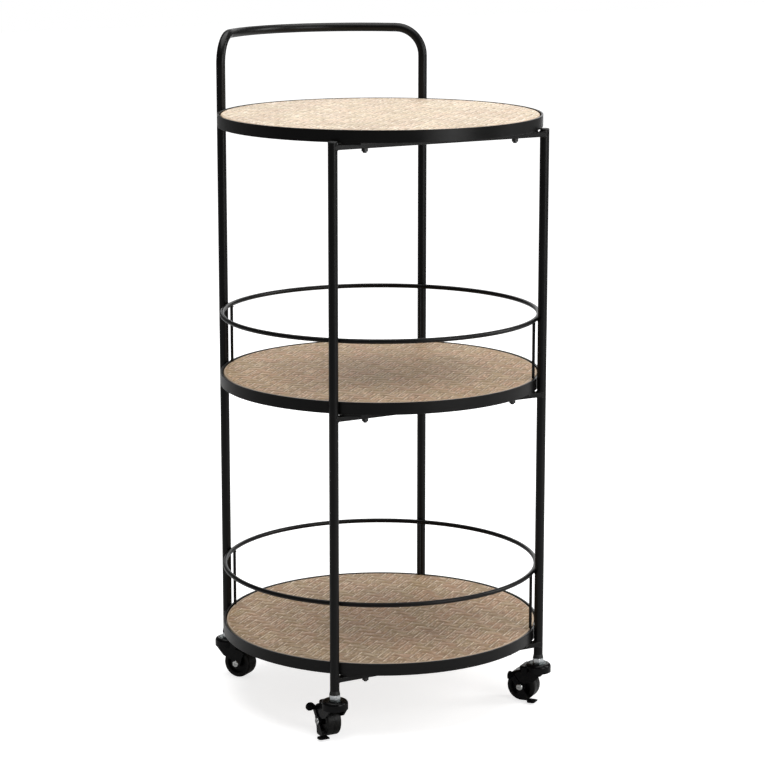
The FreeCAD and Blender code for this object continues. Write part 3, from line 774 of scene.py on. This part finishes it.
def trim_round(mat, radius):
    """Cut a mat round with straight cuts, each closed again across the strips that it meets."""
    pick(mat, lambda co: math.hypot(co.x, co.y) > radius + 2 * FLOAT)
    bpy.ops.mesh.delete(type="VERT")
    for k in range(MAT_SIDES):
        angle = 2 * math.pi * k / MAT_SIDES
        outward = Vector((math.cos(angle), math.sin(angle), 0))
        bpy.ops.mesh.select_all(action="SELECT")
        bpy.ops.mesh.bisect(plane_co=outward * radius, plane_no=outward, use_fill=True, clear_outer=True)
    bpy.ops.object.mode_set(mode="OBJECT")


def without_crumbs(mat):
    """Take off the crumbs of strip that the cuts leave at the mat's edge."""
    pick(mat, lambda co: True)
    bpy.ops.mesh.separate(type="LOOSE")
    bpy.ops.object.mode_set(mode="OBJECT")
    strips = list(bpy.context.selected_objects)
    crumbs = [strip for strip in strips if max(strip.dimensions) < CRUMB]
    for crumb in crumbs:
        strips.remove(crumb)
        bpy.data.objects.remove(crumb)
    return join(strips)


def woven_mat(radius, turn, shift_along, shift_across):
    """Twill of flat strips, each over two and under two, cut round."""
    mat = twill_block()
    run = 4 * STRIP_PITCH
    half_runs = math.ceil(radius / run) + 1
    repeat(mat, 2 * half_runs, (run, 0, 0))
    repeat(mat, 2 * half_runs, (0, run, 0))
    mat.location = (shift_along - half_runs * run, shift_across - half_runs * run, 0)
    settle(mat)
    mat.rotation_euler = (0, 0, turn)
    settle(mat)
    trim_round(mat, radius)
    mat = without_crumbs(mat)
    bpy.ops.object.shade_smooth_by_angle(angle=math.radians(50))
    return mat


def lay_mats(radius):
    for tier in TIERS:
        mat = woven_mat(radius, *MAT_LIE[tier])
        board_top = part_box(tier + "_panel")[1].z
        mat.data.transform(Matrix.Translation((0, 0, board_top)))
        finish_piece(mat, "woven_mat_" + tier, "frame", woven_strips(tier))


# ------------------------------------------------------------------ dress the nodes
def paint(material, *names):
    for name in names:
        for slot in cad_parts[name].material_slots:
            slot.material = material


def dress_frame(mat_radius):
    steel = coated_steel()
    paint(steel, "handle_frame", "front_left_leg", "front_right_leg")
    for tier in TIERS:
        paint(steel, tier + "_rim", tier + "_rim_tabs", "front_crossbar_" + tier, "back_crossbar_" + tier)
        paint(board_wood(tier, mat_radius), tier + "_panel")
    for tier in GALLERY_TIERS:
        paint(steel, tier + "_gallery_ring", tier + "_gallery_posts")


def dress_fixings():
    zinc = plated_steel("zinc", (0.74, 0.76, 0.77), (0.58, 0.62, 0.64), roughness=0.26)
    black_fixing = moulded_plastic(
        "black_fixing", (0.010, 0.010, 0.010), (0.020, 0.020, 0.020),
        roughness=0.34, pebbles=2600.0, gloss=0.5)
    plug_plastic = moulded_plastic(
        "black_plastic", (0.010, 0.010, 0.010), (0.018, 0.018, 0.018),
        roughness=0.45, pebbles=2200.0, gloss=0.4)
    paint(plug_plastic, "front_leg_plugs", "stem_sockets")
    paint(black_fixing, "tray_bolts", "tray_nuts")
    paint(zinc, "stem_nuts", "panel_screws")


def dress_casters():
    dark_zinc = plated_steel("dark_zinc", (0.022, 0.032, 0.033), (0.07, 0.09, 0.09), roughness=0.2)
    rivet = plated_steel("rivet_steel", (0.74, 0.75, 0.74), (0.50, 0.52, 0.51), roughness=0.12)
    caster_plastic = moulded_plastic(
        "caster_plastic", (0.0015, 0.0015, 0.0018), (0.0035, 0.0035, 0.004),
        roughness=0.16, pebbles=3000.0, gloss=0.14)
    hub_plastic = moulded_plastic(
        "hub_plastic", (0.002, 0.002, 0.002), (0.005, 0.005, 0.005),
        roughness=0.28, pebbles=2600.0, gloss=0.14)
    tyre = rubber()
    for corner in CORNERS:
        caster = "caster_" + corner + "_"
        paint(dark_zinc, caster + "stem")
        paint(caster_plastic, caster + "fork")
        paint(rivet, caster + "axle")
        paint(hub_plastic, caster + "hub")
        paint(tyre, caster + "tyre")
        if corner in BRAKED:
            paint(caster_plastic, caster + "brake_lever")


# ------------------------------------------------------------------ floor, light and camera
def studio_floor(tone, glow, mirrored):
    """Pale floor that keeps the cart's shadow and goes over into the white behind it.

    It glows to the camera, and the cart's gloss sees the mirrored share of that glow."""
    deselect()
    bpy.ops.mesh.primitive_plane_add(size=24.0, location=(0, 0, 0))
    floor = bpy.context.object
    floor.name = "studio_floor"
    material, tree, shader = new_material("studio_floor")
    shader.inputs["Base Color"].default_value = (tone, tone, tone, 1)
    shader.inputs["Roughness"].default_value = 0.9
    shader.inputs["Specular IOR Level"].default_value = 0.1
    white = spread(tree, vector_length(tree, object_place(tree)), 0.5, 4.0, glow, 1.0)
    paths = tree.nodes.new("ShaderNodeLightPath")
    glossy = times(tree, paths.outputs["Is Glossy Ray"], mirrored)
    seen = math_node(tree, "MAXIMUM", paths.outputs["Is Camera Ray"], glossy)
    glow = tree.nodes.new("ShaderNodeEmission")
    tree.links.new(times(tree, seen, white), glow.inputs["Strength"])
    both = tree.nodes.new("ShaderNodeAddShader")
    tree.links.new(shader.outputs["BSDF"], both.inputs[0])
    tree.links.new(glow.outputs["Emission"], both.inputs[1])
    tree.links.new(both.outputs["Shader"], tree.nodes["Material Output"].inputs["Surface"])
    floor.data.materials.append(material)


def studio_world(ambient, mirrored):
    """White to the camera, a plain ambient light to the cart, and dimmer in its gloss."""
    world = bpy.data.worlds.new("studio")
    bpy.context.scene.world = world
    world.use_nodes = True
    tree = world.node_tree
    background = tree.nodes["Background"]
    background.inputs["Color"].default_value = (1, 1, 1, 1)
    paths = tree.nodes.new("ShaderNodeLightPath")
    unseen = blend_numbers(tree, paths.outputs["Is Glossy Ray"], ambient, mirrored)
    strength = blend_numbers(tree, paths.outputs["Is Camera Ray"], unseen, 1.0)
    tree.links.new(strength, background.inputs["Strength"])


def soft_lamp(name, place, aim, size, power):
    lamp = bpy.data.lights.new(name, "AREA")
    lamp.shape = "RECTANGLE"
    lamp.size, lamp.size_y = size
    lamp.energy = power
    holder = bpy.data.objects.new(name, lamp)
    bpy.context.scene.collection.objects.link(holder)
    holder.location = place
    holder.rotation_mode = "QUATERNION"
    holder.rotation_quaternion = (Vector(aim) - Vector(place)).to_track_quat("-Z", "Y")
    holder.visible_camera = False


def studio_lamps():
    waist = (0, 0, 0.5)
    soft_lamp("top_lamp", (0.1, 0.2, 2.9), (0.1, 0.2, 0), size=(2.6, 2.6), power=72)
    soft_lamp("right_lamp", (2.7, -1.2, 1.7), waist, size=(0.9, 1.9), power=36)
    soft_lamp("front_lamp", (0.95, -2.75, 1.2), waist, size=(1.3, 1.8), power=32)
    soft_lamp("back_lamp", (1.3, 2.0, 1.1), waist, size=(1.8, 1.8), power=12)


def studio_camera(place, heading, drop, lens):
    """Long lens from front left, a little above the cart. heading turns from +Y towards +X."""
    camera = bpy.data.cameras.new("camera")
    holder = bpy.data.objects.new("camera", camera)
    bpy.context.scene.collection.objects.link(holder)
    holder.location = place
    look = Vector((math.sin(heading) * math.cos(drop), math.cos(heading) * math.cos(drop), -math.sin(drop)))
    holder.rotation_mode = "QUATERNION"
    holder.rotation_quaternion = look.to_track_quat("-Z", "Y")
    camera.sensor_width = 36.0
    camera.lens = lens
    camera.shift_y = -0.02
    camera.clip_end = 50.0
    bpy.context.scene.camera = holder


board_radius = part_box("top_panel")[1].x
mat_radius = board_radius - MAT_INSET
dress_frame(mat_radius)
dress_fixings()
dress_casters()
weld = weld_steel()
crossbar_welds(weld)
gallery_welds(weld)
lay_mats(mat_radius)

studio_floor(tone=0.58, glow=0.74, mirrored=0.06)
studio_world(ambient=0.255, mirrored=0.13)
studio_lamps()
studio_camera(
    place=(-1.62532, -2.86839, 1.10613),
    heading=math.radians(29.587),
    drop=math.radians(11.439),
    lens=120.386)
bpy.context.scene.view_settings.view_transform = "Standard"
